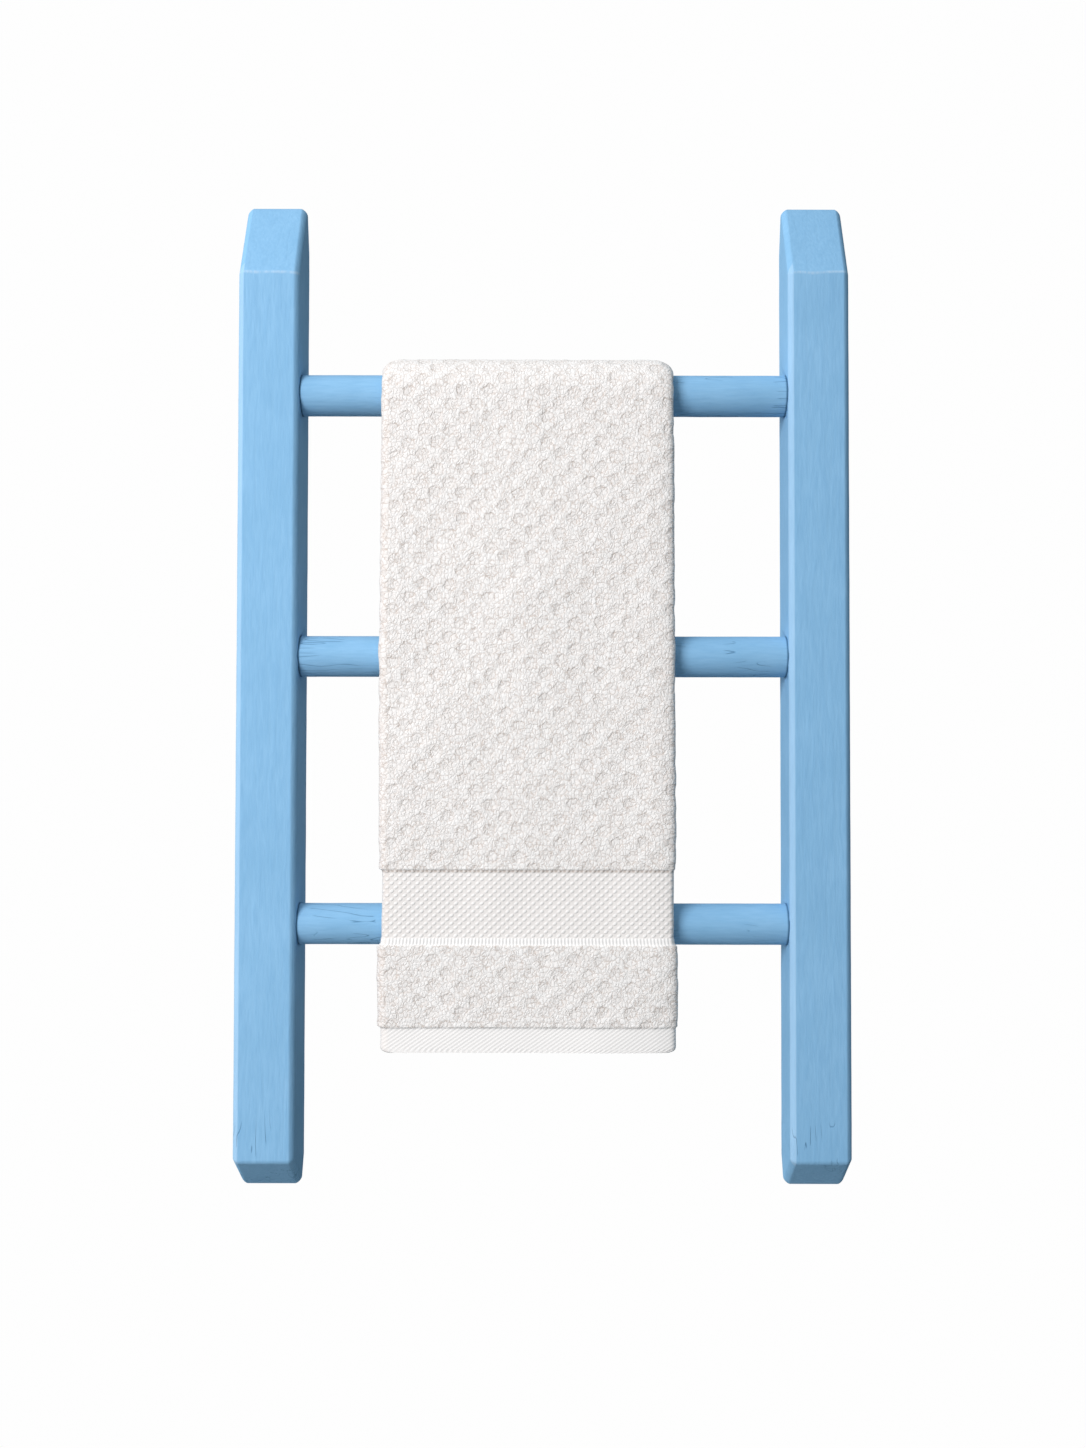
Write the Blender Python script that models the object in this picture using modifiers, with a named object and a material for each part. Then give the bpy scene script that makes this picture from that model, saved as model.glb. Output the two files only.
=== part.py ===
"""Small wall-hung towel ladder with a folded hand towel over its top rung.

Two wooden uprights carry three round rungs in blind sockets. A keyhole plate is let into the back of each
upright, and a terry hand towel, folded in thirds, hangs over the top rung.

Metres. X runs along the rungs, the wall is the plane y = 0 with the room at -Y, and +Z is up. The origin is
midway between the two points that the wall screws bear on. Left and right are as seen from the room.
"""

import math

import bmesh
import bpy
from mathutils import Matrix

# Rack
RACK_WIDTH = 0.306
RACK_HEIGHT = 0.4995
UPRIGHT_WIDTH = 0.0306
UPRIGHT_DEPTH = 0.035
UPRIGHT_EDGE_RADIUS = 0.0028

# Shaped ends of the uprights: how far the front slope and the back shoulder of each end reach along the
# upright, and how far the line where they meet stands from the wall
TOP_SLOPE_RISE = 0.0405
TOP_CREST_FROM_WALL = 0.0095
TOP_SHOULDER_DROP = 0.0215
TOP_ROUND = 0.004
FOOT_SLOPE_RISE = 0.018
FOOT_CREST_FROM_WALL = 0.009
FOOT_SHOULDER_RISE = 0.014
FOOT_ROUND = 0.004
CORNER_ROUND = 0.003

# Rungs, from the top of the uprights down
RUNG_DIAMETER = 0.0206
RUNG_SETBACK = 0.0135
TOP_RUNG_DROP = 0.0995
UPPER_RUNG_SPACING = 0.1326
LOWER_RUNG_SPACING = 0.1346
SOCKET_DEPTH = 0.015
RUNG_END_CHAMFER = 0.001

# Keyhole plates and their screws
HANG_DROP = 0.0615
PLATE_WIDTH = 0.016
PLATE_HEIGHT = 0.046
PLATE_THICKNESS = 0.0016
PLATE_RECESS = 0.0003
SCREW_SPACING = 0.034
SLOT_WIDTH = 0.0046
SLOT_TOP_ABOVE_MIDDLE = 0.006
ENTRY_DIAMETER = 0.0095
ENTRY_BELOW_SLOT_TOP = 0.0095
POCKET_DEPTH = 0.009
POCKET_MARGIN = 0.0012
SCREW_LENGTH = 0.016
SCREW_HEAD_DIAMETER = 0.0068
SCREW_SHANK_DIAMETER = 0.0035
SCREW_RIM = 0.0003
SCREW_POINT_LENGTH = 0.003
DRIVE_SLOT_LENGTH = 0.0036
DRIVE_SLOT_WIDTH = 0.0008
DRIVE_SLOT_DEPTH = 0.0011

# Towel: the cloth's own length, its folded width and stack, and how it hangs
TOWEL_LENGTH = 0.700
TOWEL_FOLDED_WIDTH = 0.1474
TOWEL_STACK = 0.0084
TOWEL_FRONT_HANG = 0.328
TOWEL_OFFSET = -0.0074
TOWEL_FOLD_RADIUS = 0.003

# Gap between two pieces that touch, and how finely round shapes are faceted
CLEARANCE = 0.0003
ARC_STEP = math.radians(12)
RUNG_SIDES = 48
SMALL_SIDES = 24
OVERCUT = 0.005

TOP_Z = HANG_DROP
FOOT_Z = TOP_Z - RACK_HEIGHT
FRONT_Y = -UPRIGHT_DEPTH
RUNG_Y = FRONT_Y + RUNG_SETBACK
TOP_RUNG_Z = TOP_Z - TOP_RUNG_DROP
MIDDLE_RUNG_Z = TOP_RUNG_Z - UPPER_RUNG_SPACING
BOTTOM_RUNG_Z = MIDDLE_RUNG_Z - LOWER_RUNG_SPACING
RUNG_HEIGHTS = {"top_rung": TOP_RUNG_Z, "middle_rung": MIDDLE_RUNG_Z, "bottom_rung": BOTTOM_RUNG_Z}
INNER_X = RACK_WIDTH / 2 - UPRIGHT_WIDTH
UPRIGHT_X = RACK_WIDTH / 2 - UPRIGHT_WIDTH / 2
PLATE_Z = -SLOT_TOP_ABOVE_MIDDLE
SCREW_HEIGHTS = {"upper": PLATE_Z + SCREW_SPACING / 2, "lower": PLATE_Z - SCREW_SPACING / 2}
SEAT_Y = -PLATE_RECESS - PLATE_THICKNESS - CLEARANCE


def new_collection(name):
    """An empty collection linked to the scene."""
    made = bpy.data.collections.new(name)
    bpy.context.scene.collection.children.link(made)
    return made


def paint(name, colour, roughness, metallic=0.0):
    """A Principled material with this base colour, roughness and metallic value."""
    material = bpy.data.materials.new(name)
    material.use_nodes = True
    shader = material.node_tree.nodes["Principled BSDF"]
    shader.inputs["Base Color"].default_value = (*colour, 1.0)
    shader.inputs["Roughness"].default_value = roughness
    shader.inputs["Metallic"].default_value = metallic
    return material


def add_mesh_object(name, mesh, collection, material=None):
    """An object that holds this mesh, in this collection."""
    made = bpy.data.objects.new(name, mesh)
    collection.objects.link(made)
    if material:
        mesh.materials.append(material)
    return made


def belt(discs):
    """The outline of a belt drawn tight round these discs, (y, z, radius) each, counter-clockwise."""
    tangents = []
    for (y0, z0, r0), (y1, z1, r1) in zip(discs, discs[1:] + discs[:1]):
        heading = math.atan2(z1 - z0, y1 - y0)
        lean = math.acos((r0 - r1) / math.hypot(y1 - y0, z1 - z0))
        tangents.append(heading - lean)
    points = []
    for (y, z, radius), start, end in zip(discs, tangents[-1:] + tangents[:-1], tangents):
        turn = (end - start) % (2 * math.pi)
        steps = max(1, math.ceil(turn / ARC_STEP))
        for i in range(steps + 1):
            angle = start + turn * i / steps
            points.append((y + radius * math.cos(angle), z + radius * math.sin(angle)))
    return points


def plate_from_outline(outline, thickness):
    """A mesh plate of this closed flat outline, centred on its own plane, with each flat side one face."""
    curve = bpy.data.curves.new("outline", "CURVE")
    curve.dimensions = "2D"
    curve.fill_mode = "BOTH"
    curve.extrude = thickness / 2
    spline = curve.splines.new("POLY")
    spline.points.add(len(outline) - 1)
    for point, (u, v) in zip(spline.points, outline):
        point.co = (u, v, 0.0, 1.0)
    spline.use_cyclic_u = True
    guide = bpy.data.objects.new("outline", curve)
    bpy.context.scene.collection.objects.link(guide)
    bpy.context.view_layer.update()
    graph = bpy.context.evaluated_depsgraph_get()
    mesh = bpy.data.meshes.new_from_object(guide.evaluated_get(graph))
    bpy.data.objects.remove(guide)
    solid = bmesh.new()
    solid.from_mesh(mesh)
    bmesh.ops.remove_doubles(solid, verts=solid.verts, dist=1e-6)
    bmesh.ops.dissolve_limit(solid, angle_limit=math.radians(1), verts=solid.verts, edges=solid.edges)
    bmesh.ops.recalc_face_normals(solid, faces=solid.faces)
    solid.to_mesh(mesh)
    solid.free()
    return mesh


def cylinder_mesh(radius, length, sides, top_radius=None):
    """A closed cylinder or cone along Z, centred on the origin."""
    mesh = bpy.data.meshes.new("cylinder")
    solid = bmesh.new()
    bmesh.ops.create_cone(
        solid,
        cap_ends=True,
        segments=sides,
        radius1=radius,
        radius2=radius if top_radius is None else top_radius,
        depth=length,
    )
    solid.to_mesh(mesh)
    solid.free()
    return mesh


def box_mesh(size):
    """A closed box of this size, centred on the origin."""
    mesh = bpy.data.meshes.new("box")
    solid = bmesh.new()
    bmesh.ops.create_cube(solid, size=1.0, matrix=Matrix.Diagonal((*size, 1.0)))
    solid.to_mesh(mesh)
    solid.free()
    return mesh


def soften(piece, radius, segments, angle=30):
    """Round off the piece's edges that turn by more than this angle."""
    bevel = piece.modifiers.new("soft_edges", "BEVEL")
    bevel.width = radius
    bevel.segments = segments
    bevel.limit_method = "ANGLE"
    bevel.angle_limit = math.radians(angle)


def cut(piece, cutter):
    """Take the cutter's shape out of the piece, and keep the cutter as a hidden helper."""
    cutter.hide_render = True
    cutter.display_type = "WIRE"
    boolean = piece.modifiers.new(cutter.name, "BOOLEAN")
    boolean.operation = "DIFFERENCE"
    boolean.solver = "EXACT"
    boolean.object = cutter


def shade(piece, angle=30):
    """Smooth shading, with edges sharper than this angle left crisp."""
    piece.data.shade_smooth()
    piece.data.set_sharp_from_angle(angle=math.radians(angle))


# A flat outline's own X and Y become the world's Y and Z, so that its plate faces along X.
ON_SIDE = Matrix(((0, 0, 1), (1, 0, 0), (0, 1, 0))).to_euler()
# A flat outline's own X and Y become the world's X and Z, so that its plate faces along Y.
ON_WALL = Matrix(((1, 0, 0), (0, 0, -1), (0, 1, 0))).to_euler()
ALONG_X = Matrix.Rotation(math.radians(90), 3, "Y").to_euler()
ALONG_Y = Matrix.Rotation(math.radians(-90), 3, "X").to_euler()


def upright_outline():
    """Side view of an upright: a long slope at the top, a short one at the foot, and eased corners."""
    front = FRONT_Y + CORNER_ROUND
    return belt(
        [
            (front, TOP_Z - TOP_SLOPE_RISE, CORNER_ROUND),
            (front, FOOT_Z + FOOT_SLOPE_RISE, CORNER_ROUND),
            (-FOOT_CREST_FROM_WALL, FOOT_Z + FOOT_ROUND, FOOT_ROUND),
            (-CORNER_ROUND, FOOT_Z + FOOT_SHOULDER_RISE, CORNER_ROUND),
            (-CORNER_ROUND, TOP_Z - TOP_SHOULDER_DROP, CORNER_ROUND),
            (-TOP_CREST_FROM_WALL, TOP_Z - TOP_ROUND, TOP_ROUND),
        ]
    )


def slot_outline(low, high, radius):
    """An upright slot with round ends, whose end centres are at these two heights."""
    return belt([(0.0, low, radius), (0.0, high, radius)])


def wall_plate(outline, name, x, y, thickness, collection, material=None):
    """A plate of this outline that faces the wall, with its middle plane at this depth."""
    piece = add_mesh_object(name, plate_from_outline(outline, thickness), collection, material)
    piece.location = (x, y, 0.0)
    piece.rotation_euler = ON_WALL
    return piece


def wall_cutter(outline, name, x, depth):
    """A cutter of this outline that goes this deep into the back of an upright."""
    return wall_plate(outline, name, x, (OVERCUT - depth) / 2, depth + OVERCUT, helpers)


def build_upright(side, x, inward):
    """One upright with its rung sockets and the seat of its keyhole plate cut in."""
    mesh = plate_from_outline(upright_outline(), UPRIGHT_WIDTH)
    upright = add_mesh_object(f"{side}_upright", mesh, rack, wood)
    upright.location = (x, 0.0, 0.0)
    upright.rotation_euler = ON_SIDE
    soften(upright, UPRIGHT_EDGE_RADIUS, 3)
    for rung, z in RUNG_HEIGHTS.items():
        length = SOCKET_DEPTH + OVERCUT
        mesh = cylinder_mesh(RUNG_DIAMETER / 2 + CLEARANCE, length, RUNG_SIDES)
        socket = add_mesh_object(f"{side}_{rung}_socket", mesh, helpers)
        socket.location = (x + inward * (UPRIGHT_WIDTH / 2 - SOCKET_DEPTH + length / 2), RUNG_Y, z)
        socket.rotation_euler = ALONG_X
        cut(upright, socket)
    seat_radius = PLATE_WIDTH / 2 + CLEARANCE
    reach = PLATE_HEIGHT / 2 - PLATE_WIDTH / 2
    seat = slot_outline(PLATE_Z - reach, PLATE_Z + reach, seat_radius)
    cut(upright, wall_cutter(seat, f"{side}_plate_seat", x, -SEAT_Y))
    pocket = slot_outline(-ENTRY_BELOW_SLOT_TOP, 0.0, ENTRY_DIAMETER / 2 + POCKET_MARGIN)
    cut(upright, wall_cutter(pocket, f"{side}_screw_pocket", x, POCKET_DEPTH - SEAT_Y))
    for end, z in SCREW_HEIGHTS.items():
        depth = PLATE_RECESS + SCREW_LENGTH + CLEARANCE
        mesh = cylinder_mesh(SCREW_SHANK_DIAMETER / 2 + CLEARANCE, depth, SMALL_SIDES)
        pilot = add_mesh_object(f"{side}_{end}_pilot_hole", mesh, helpers)
        pilot.location = (x, -depth / 2, z)
        pilot.rotation_euler = ALONG_Y
        cut(upright, pilot)
    shade(upright)


def build_rung(name, z):
    """A dowel that reaches into the blind sockets of both uprights."""
    length = 2 * (INNER_X + SOCKET_DEPTH - CLEARANCE)
    rung = add_mesh_object(name, cylinder_mesh(RUNG_DIAMETER / 2, length, RUNG_SIDES), rack, wood)
    rung.location = (0.0, RUNG_Y, z)
    rung.rotation_euler = ALONG_X
    soften(rung, RUNG_END_CHAMFER, 1)
    shade(rung)


def build_hanger_plate(side, x):
    """A steel keyhole plate, let into the back of an upright, with a countersunk hole near each end."""
    reach = PLATE_HEIGHT / 2 - PLATE_WIDTH / 2
    outline = slot_outline(PLATE_Z - reach, PLATE_Z + reach, PLATE_WIDTH / 2)
    middle_y = -PLATE_RECESS - PLATE_THICKNESS / 2
    plate = wall_plate(outline, f"{side}_hanger_plate", x, middle_y, PLATE_THICKNESS, rack, zinc)
    slot = slot_outline(-ENTRY_BELOW_SLOT_TOP, 0.0, SLOT_WIDTH / 2)
    cut(plate, wall_cutter(slot, f"{side}_hanging_slot", x, OVERCUT))
    entry = cylinder_mesh(ENTRY_DIAMETER / 2, 2 * OVERCUT, SMALL_SIDES)
    entry = add_mesh_object(f"{side}_entry_hole", entry, helpers)
    entry.location = (x, 0.0, -ENTRY_BELOW_SLOT_TOP)
    entry.rotation_euler = ALONG_Y
    cut(plate, entry)
    for end, z in SCREW_HEIGHTS.items():
        sink = add_mesh_object(f"{side}_{end}_countersink", screw_mesh(CLEARANCE), helpers)
        sink.location = (x, -PLATE_RECESS, z)
        cut(plate, sink)
    shade(plate)


def screw_mesh(grown=0.0):
    """A countersunk wood screw along -Y, its head's face at the origin, or the hole it needs if grown."""
    head = SCREW_HEAD_DIAMETER / 2 + grown
    shank = SCREW_SHANK_DIAMETER / 2 + grown
    cone = SCREW_RIM + (SCREW_HEAD_DIAMETER - SCREW_SHANK_DIAMETER) / 2
    face = OVERCUT if grown else 0.0
    tip = SCREW_LENGTH + grown
    # Down the screw's own axis: (radius, distance behind the head's face)
    profile = [
        (0.0, face),
        (head, face),
        (head, -SCREW_RIM),
        (shank, -cone),
        (shank, -(tip - SCREW_POINT_LENGTH)),
        (0.0, -tip),
    ]
    mesh = bpy.data.meshes.new("screw")
    solid = bmesh.new()
    ring = [solid.verts.new((radius, y, 0.0)) for radius, y in profile]
    edges = [solid.edges.new(pair) for pair in zip(ring, ring[1:])]
    bmesh.ops.spin(
        solid,
        geom=ring + edges,
        cent=(0.0, 0.0, 0.0),
        axis=(0.0, 1.0, 0.0),
        angle=2 * math.pi,
        steps=SMALL_SIDES,
        use_merge=True,
    )
    bmesh.ops.remove_doubles(solid, verts=solid.verts, dist=1e-6)
    bmesh.ops.recalc_face_normals(solid, faces=solid.faces)
    solid.to_mesh(mesh)
    solid.free()
    return mesh


def build_hanger_screw(side, end, x, z):
    """One of the screws that hold a keyhole plate, with a cross drive in its head."""
    screw = add_mesh_object(f"{side}_hanger_screw_{end}", screw_mesh(), rack, zinc)
    screw.location = (x, -PLATE_RECESS, z)
    arms = {"level": (DRIVE_SLOT_LENGTH, DRIVE_SLOT_WIDTH), "upright": (DRIVE_SLOT_WIDTH, DRIVE_SLOT_LENGTH)}
    for direction, (across, up) in arms.items():
        mesh = box_mesh((across, 2 * DRIVE_SLOT_DEPTH, up))
        drive = add_mesh_object(f"{side}_{end}_{direction}_drive", mesh, helpers)
        drive.location = screw.location
        cut(screw, drive)
    shade(screw)


def towel_outline():
    """Side view of the folded towel: over the rung from the wall side, down, up inside and back."""
    inner = RUNG_DIAMETER / 2 + CLEARANCE
    outer = inner + TOWEL_STACK
    turn = math.pi * (inner + outer) / 2
    front_hem = TOP_RUNG_Z - TOWEL_FRONT_HANG
    back_hem = TOP_RUNG_Z - (TOWEL_LENGTH - TOWEL_FRONT_HANG - turn)
    steps = math.ceil(math.pi / ARC_STEP)
    angles = [math.pi * i / steps for i in range(steps + 1)]
    over = [(RUNG_Y + outer * math.cos(a), TOP_RUNG_Z + outer * math.sin(a)) for a in angles]
    under = [(RUNG_Y - inner * math.cos(a), TOP_RUNG_Z + inner * math.sin(a)) for a in angles]
    front = [(RUNG_Y - outer, front_hem), (RUNG_Y - inner, front_hem)]
    back = [(RUNG_Y + inner, back_hem), (RUNG_Y + outer, back_hem)]
    return over + front + under + back


def build_towel():
    """The folded towel as one solid draped over the top rung."""
    towel = add_mesh_object("towel", plate_from_outline(towel_outline(), TOWEL_FOLDED_WIDTH), rack, terry)
    towel.location = (TOWEL_OFFSET, 0.0, 0.0)
    towel.rotation_euler = ON_SIDE
    soften(towel, TOWEL_FOLD_RADIUS, 2)
    shade(towel)


for leftover in list(bpy.data.objects):
    bpy.data.objects.remove(leftover)

rack = new_collection("towel_ladder")
helpers = new_collection("cutters")
wood = paint("blue_painted_wood", (0.29, 0.53, 0.78), 0.6)
zinc = paint("zinc_plated_steel", (0.62, 0.62, 0.60), 0.35, 1.0)
terry = paint("white_terry", (0.86, 0.85, 0.84), 0.95)

for side, sign in (("left", -1), ("right", 1)):
    build_upright(side, sign * UPRIGHT_X, -sign)
    build_hanger_plate(side, sign * UPRIGHT_X)
    for end, height in SCREW_HEIGHTS.items():
        build_hanger_screw(side, end, sign * UPRIGHT_X, height)
for name, height in RUNG_HEIGHTS.items():
    build_rung(name, height)
build_towel()
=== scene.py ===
# %% [markdown]
# A small wooden towel ladder hangs on a wall, with a terry hand towel folded in thirds over its top rung. The
# working model already has every piece at its real size, so it is loaded first and is never moved. What this
# lesson adds is the finish: hand-painted wood, zinc-plated hangers, and a towel that is really one folded cloth.

# %% The working model and its measures
import math
from functools import partial

import bmesh
import bpy
import numpy as np
from mathutils import Euler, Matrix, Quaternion, Vector


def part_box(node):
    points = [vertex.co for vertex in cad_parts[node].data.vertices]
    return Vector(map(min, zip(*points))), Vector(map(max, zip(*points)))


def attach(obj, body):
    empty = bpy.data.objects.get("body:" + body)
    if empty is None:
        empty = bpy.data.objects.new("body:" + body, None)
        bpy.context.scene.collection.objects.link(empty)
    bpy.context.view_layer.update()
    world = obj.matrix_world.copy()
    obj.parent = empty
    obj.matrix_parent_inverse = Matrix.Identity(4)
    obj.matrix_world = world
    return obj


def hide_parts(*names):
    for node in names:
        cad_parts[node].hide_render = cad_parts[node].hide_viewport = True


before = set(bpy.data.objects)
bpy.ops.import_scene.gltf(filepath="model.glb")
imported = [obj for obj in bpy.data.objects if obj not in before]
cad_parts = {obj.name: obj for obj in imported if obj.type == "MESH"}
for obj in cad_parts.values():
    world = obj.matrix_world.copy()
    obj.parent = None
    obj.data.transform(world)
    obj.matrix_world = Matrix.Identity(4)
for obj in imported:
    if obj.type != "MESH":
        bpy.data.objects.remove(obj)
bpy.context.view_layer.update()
MM = 0.001


def middle(node):
    """The middle of a node's box."""
    low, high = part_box(node)
    return (low + high) / 2


def size(node):
    """The sizes of a node's box."""
    low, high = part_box(node)
    return high - low


RUNGS = ("top_rung", "middle_rung", "bottom_rung")
SIDES = ("left", "right")
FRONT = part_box("left_upright")[0].y
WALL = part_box("left_upright")[1].y
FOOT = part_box("left_upright")[0].z
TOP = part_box("left_upright")[1].z
RUNG_RADIUS = size("top_rung").z / 2

# %% [markdown]
# The camera comes first, because it decides what has to be finished most finely. It stands about 0.8 m in front
# of the rack, a little right of its middle and level with the gap between the lower two rungs. It tips up very
# slightly, which makes the two uprights lean together towards the top. The lens is short, so the inner side of
# each upright shows. The rack is centred in the picture by a small sideways shift of the lens, because turning
# the camera would make one upright lean more than the other.

# %% Camera
CAMERA_DISTANCE = 0.779
CAMERA_RIGHT = 0.0056
CAMERA_BELOW_TOP_RUNG = 0.190
CAMERA_TIP = math.radians(1.69)
CAMERA_SHIFT = -0.0078
CAMERA_ROLL = math.radians(0.085)
LENS = 39.03
SENSOR_WIDTH = 36.0

camera_data = bpy.data.cameras.new("camera")
camera_data.lens = LENS
camera_data.sensor_width = SENSOR_WIDTH
camera_data.shift_x = CAMERA_SHIFT
camera = bpy.data.objects.new("camera", camera_data)
camera.location = (CAMERA_RIGHT, FRONT - CAMERA_DISTANCE, middle("top_rung").z - CAMERA_BELOW_TOP_RUNG)
facing = Euler((math.pi / 2 + CAMERA_TIP, 0.0, 0.0)).to_quaternion()
camera.rotation_euler = (facing @ Quaternion((0, 0, 1), CAMERA_ROLL)).to_euler()
bpy.context.scene.collection.objects.link(camera)
bpy.context.scene.camera = camera
print("camera at", [round(v, 3) for v in camera.location], "m, with a lens of", LENS, "mm")

# %% [markdown]
# Colours are given as the hex values that a colour picker shows, and a shader wants linear light, so one function
# turns one into the other. One more adds any node with its settings and links, so that each finish reads as a
# recipe of one line for each node. A finish calls it node, once it has been told which tree it works in.

# %% Colours and nodes
def colour(hex_value):
    """A linear RGBA colour from an sRGB hex string."""
    parts = [int(hex_value[i : i + 2], 16) / 255 for i in (1, 3, 5)]
    linear = [c / 12.92 if c <= 0.04045 else ((c + 0.055) / 1.055) ** 2.4 for c in parts]
    return (*linear, 1.0)


def feed(tree, node, values):
    """Give a node its inputs. Each value is a number, a colour, or the node or output that it comes from."""
    open_inputs = [socket for socket in node.inputs if socket.enabled]
    for key, value in values.items():
        socket = open_inputs[key] if isinstance(key, int) else node.inputs[key]
        if isinstance(value, bpy.types.Node):
            value = next(output for output in value.outputs if output.enabled)
        if isinstance(value, bpy.types.NodeSocket):
            tree.links.new(value, socket)
        else:
            socket.default_value = value


def add(tree, kind, *values, **settings):
    """A new node with these settings, fed in order, or by name from a dict. A kind may end with its operation."""
    kind, *operation = kind.split()
    node = tree.nodes.new("ShaderNode" + kind)
    if operation:
        node.operation = operation[0]
    for name, value in settings.items():
        setattr(node, name, value)
    feed(tree, node, values[0] if values and isinstance(values[0], dict) else dict(enumerate(values)))
    return node


# Settings that many nodes share: a Mix that mixes colours, and a Map Range that eases in and out
COLOURS = {"data_type": "RGBA"}
SMOOTH = {"interpolation_type": "SMOOTHSTEP"}


def new_material(name):
    """A node material, its tree, its Principled shader, and the function that adds a node to it."""
    material = bpy.data.materials.new(name)
    material.use_nodes = True
    tree = material.node_tree
    return material, tree, tree.nodes["Principled BSDF"], partial(add, tree)


def give(piece, material):
    """The piece wears this material and no other."""
    piece.data.materials.clear()
    piece.data.materials.append(material)


def select_only(piece):
    """Deselect everything, then make this one piece selected and active."""
    bpy.ops.object.select_all(action="DESELECT")
    piece.select_set(True)
    bpy.context.view_layer.objects.active = piece


print("a mid grey of #808080 is", round(colour("#808080")[0], 3), "in linear light")

# %% [markdown]
# The studio is a white tent. A plain pale floor lies well below the rack, a big soft key light stands up and to
# the left, near enough that its light fades a little across the towel, and the tent itself fills the shadows,
# more from above and from the left than from below and from the right. What is lit less by it is lit a little
# bluer. To the camera the tent's cloth is plain white. The Standard transform leaves the light as it is, so white
# cloth stays white.

# %% Floor, tent and lights
FLOOR_DROP = 1.5
FLOOR_RADIUS = 1.2
TENT_WHITE = (0.99, 0.99, 0.99, 1.0)
TENT_LIT = (0.95, 0.975, 0.98, 1.0)
TENT_SHADE = (0.84, 1.0, 1.06, 1.0)
TENT_BELOW = 0.01
TENT_ABOVE = 0.46
TENT_LEFT = 2.4
TENT_RIGHT = 0.75
# Between which directions the tent's light changes, where -1 is straight down or left and 1 straight up or right
TENT_UP_FROM, TENT_UP_TO = -0.5, 0.3
TENT_ACROSS_FROM, TENT_ACROSS_TO = -0.8, 0.6
TENT_SHADED, TENT_FULLY_LIT = 0.1, 0.8
KEY_COLOUR = (1.02, 0.985, 0.98)
KEY_POWER = 14.0
KEY_SIZE = 0.6
KEY_PLACE = Vector((-0.74, -1.1, 0.17))

bpy.context.scene.view_settings.view_transform = "Standard"
bpy.ops.object.select_all(action="DESELECT")
bpy.ops.mesh.primitive_circle_add(
    vertices=96, radius=FLOOR_RADIUS, fill_type="NGON", location=(0, 0, FOOT - FLOOR_DROP)
)
floor = bpy.context.object
floor.name = "floor"
floor_material, floor_tree, floor_shader, _ = new_material("white_studio_floor")
feed(floor_tree, floor_shader, {"Base Color": colour("#F2F2F1"), "Roughness": 0.9})
give(floor, floor_material)

world = bpy.data.worlds.new("white_tent")
world.use_nodes = True
bpy.context.scene.world = world
world.node_tree.nodes.clear()
tent_node = partial(add, world.node_tree)
way = tent_node("TexCoord").outputs["Generated"]
heading = tent_node("SeparateXYZ", way).outputs
by_height = tent_node("MapRange", heading["Z"], TENT_UP_FROM, TENT_UP_TO, TENT_BELOW, TENT_ABOVE)
by_side = tent_node("MapRange", heading["X"], TENT_ACROSS_FROM, TENT_ACROSS_TO, TENT_LEFT, TENT_RIGHT)
strength = tent_node("Math MULTIPLY", by_height, by_side)
part_lit = tent_node("MapRange", strength, TENT_SHADED, TENT_FULLY_LIT)
tint = tent_node("Mix", part_lit, TENT_SHADE, TENT_LIT, **COLOURS)
fill = tent_node("Background", {"Color": tint, "Strength": strength})
white_cloth = tent_node("Background", {"Color": TENT_WHITE, "Strength": 1.0})
to_camera = tent_node("LightPath").outputs["Is Camera Ray"]
tent_node("OutputWorld", {"Surface": tent_node("MixShader", to_camera, fill, white_cloth)})


def add_softbox(name, place, target, power, width):
    """A square area light at this place, turned to face the target."""
    data = bpy.data.lights.new(name, "AREA")
    data.energy = power
    data.color = KEY_COLOUR
    data.size = width
    lamp = bpy.data.objects.new(name, data)
    lamp.location = place
    lamp.rotation_euler = (target - place).to_track_quat("-Z", "Y").to_euler()
    bpy.context.scene.collection.objects.link(lamp)


add_softbox("key_softbox", KEY_PLACE, middle("towel"), KEY_POWER, KEY_SIZE)
print("key light", round((KEY_PLACE - middle("towel")).length, 2), "m from the towel")

# %% [markdown]
# The uprights and rungs are softwood under light-blue chalk paint, brushed on by hand. Chalk paint dries dead
# matt, so roughness is high and there is next to no gloss. What makes it look painted is the fine streaks that
# the bristles leave along the length of each piece, a little unevenness in how thick the coat went on, and the
# grain of the wood below. A noise stretched to about eight times its width along the grain gives the streaks.
# Uprights run along Z and rungs along X, so one recipe takes the direction as a setting. The finish is worn where
# hands and corners wear it: it has split near the sawn feet and in places on the rungs. A painted highlight runs
# pale along the lower edge of the top slope and down one front edge. Where a rung enters its upright, a painted
# shade makes a dark line.

# %% Chalk paint on wood
PAINT = {
    "thin coat": colour("#89BBE1"),
    "thick coat": colour("#91C2E8"),
    "bristle streak": colour("#82B5DD"),
    "grain": colour("#7AACD4"),
    "split": colour("#4F7FA8"),
    # The last two are painted light: a painted highlight on two edges of each upright, and a painted shade in the
    # corner where a rung enters its upright
    "painted highlight": colour("#D6E8F7"),
    "corner": colour("#3A688E"),
}
# How many of each mark there are to a metre: streaks 1.1 mm wide, grain 4 mm, clouds 3 cm and grit 0.7 mm
STREAKS, GRAIN_LINES, CLOUDS, GRIT = 900.0, 260.0, 34.0, 1400.0
# Splits 3 mm apart, in patches 18 mm wide
SPLITS, SPLIT_PATCHES = 330.0, 55.0
ALONG_GRAIN = 0.13
SPLIT_WIDTH = 0.018
SPLITS_FROM = {"X": 0.58, "Z": 0.54}
SPLITS_BELOW = FOOT + 45 * MM
SLOPE_EDGE = TOP - 39.7 * MM
# How strong the painted highlights are, along the top slope's lower edge and down the left front edge
SLOPE_EDGE_HIGHLIGHT = 0.36
LEFT_EDGE_HIGHLIGHT = 0.2
LEFT_EDGE_WIDTH = 2.8 * MM
EDGE_DEPTH = 3 * MM


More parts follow.
